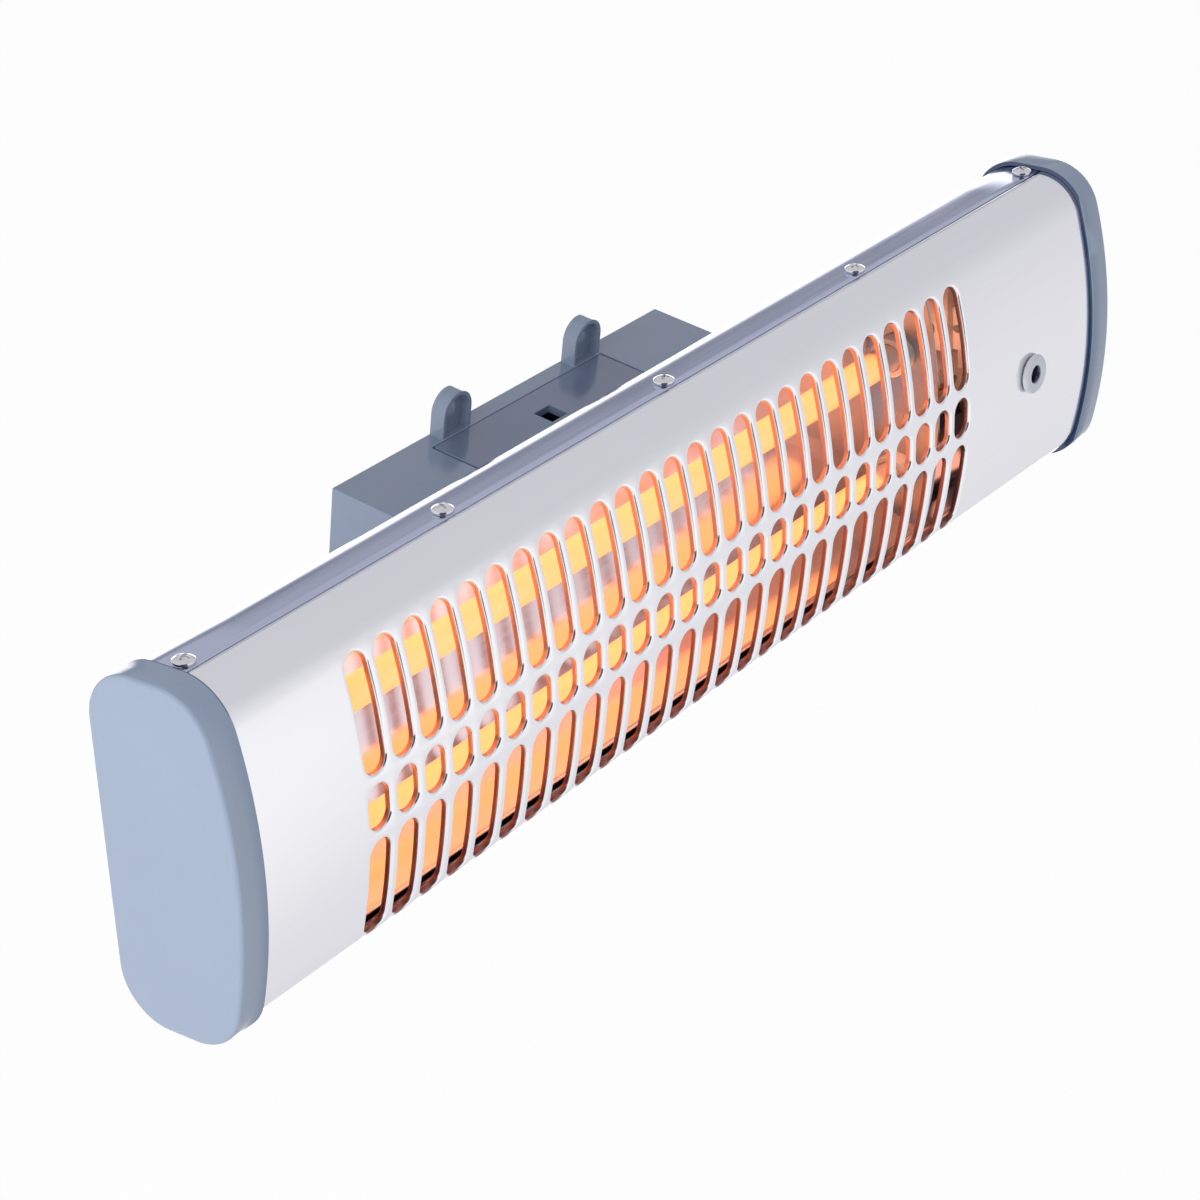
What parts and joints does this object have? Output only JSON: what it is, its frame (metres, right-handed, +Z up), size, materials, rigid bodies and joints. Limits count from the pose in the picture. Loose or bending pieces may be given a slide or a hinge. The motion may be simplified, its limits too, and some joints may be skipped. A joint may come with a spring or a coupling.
{
  "type": "electric bar heater",
  "caption": "Long wall-mounted infrared bar heater with a slotted metal front, plastic end caps and a tilting wall bracket.",
  "frame": {"origin": "midway between the two wall screw holes of the bracket, on the wall plane", "axes": "+X along the heater to the right seen from the room, +Y into the wall, +Z up"},
  "size_m": [0.473, 0.1, 0.1126],
  "materials": {
    "bracket_plastic": "glossy moulded",
    "arm_plastic": "glossy moulded",
    "cap_plastic": "smooth moulded",
    "front_metal": "satin",
    "rear_metal": "glossy",
    "nickel": "nickel plated",
    "spring_steel": "plain",
    "fibre": "pressed fibre",
    "reflector_metal": "bright anodised",
    "zinc_sheet": "zinc plated",
    "quartz": "clear quartz",
    "hot_wire": "glowing",
    "ceramic": "fired ceramic",
    "brass": "plain",
    "copper": "tinned copper",
    "black_plastic": "moulded",
    "clear_plastic": "clear moulded",
    "white_plastic": "moulded",
    "brown_wire": "insulated",
    "white_wire": "glass-braid insulated",
    "blue_wire": "insulated",
    "green_wire": "insulated"
  },
  "bodies": {
    "bracket": {"wall_bracket": "bracket_plastic", "pivot_screws": "nickel", "spring_washers": "spring_steel", "friction_washers": "fibre", "lock_nuts": "nickel"},
    "heater": {"tilt_arm": "arm_plastic", "left_end_cap": "cap_plastic", "right_end_cap": "cap_plastic", "front_shell": "front_metal", "rear_shell": "rear_metal", "top_screws": "nickel", "bottom_screws": "nickel", "arm_screws": "nickel", "foot_screws": "nickel", "lever_pin": "nickel", "reflector": "reflector_metal", "left_tube_sheet": "zinc_sheet", "right_tube_sheet": "zinc_sheet", "upper_quartz_tube": "quartz", "lower_quartz_tube": "quartz", "upper_heating_coil": "hot_wire", "lower_heating_coil": "hot_wire", "left_ceramic_holders": "ceramic", "right_ceramic_holders": "ceramic", "tube_terminals": "brass", "terminal_screws": "brass", "earth_screw": "brass", "link_strap": "copper", "thermal_cutout": "black_plastic", "cable_gland": "black_plastic", "gland_nut": "black_plastic", "cord_guide": "clear_plastic", "cord_guide_nut": "clear_plastic", "switch_housing": "white_plastic", "terminal_block": "white_plastic", "supply_wires": "brown_wire", "element_wires": "white_wire", "return_wire": "blue_wire", "earth_wire": "green_wire"},
    "lever": {"switch_lever": "white_plastic"}
  },
  "joints": [
    {"name": "tilt", "type": "hinge", "parent": "bracket", "child": "heater", "pos_m": [-0.003, -0.027, -0.0395], "axis": [1, 0, 0], "range_deg": [0, 40]},
    {"name": "pull_switch", "type": "hinge", "parent": "heater", "child": "lever", "pos_m": [0.1795, -0.06854, -0.02301], "axis": [-1, 0, 0], "range_deg": [0, 30], "stiffness_Nm_per_rad": 0.01}
  ]
}
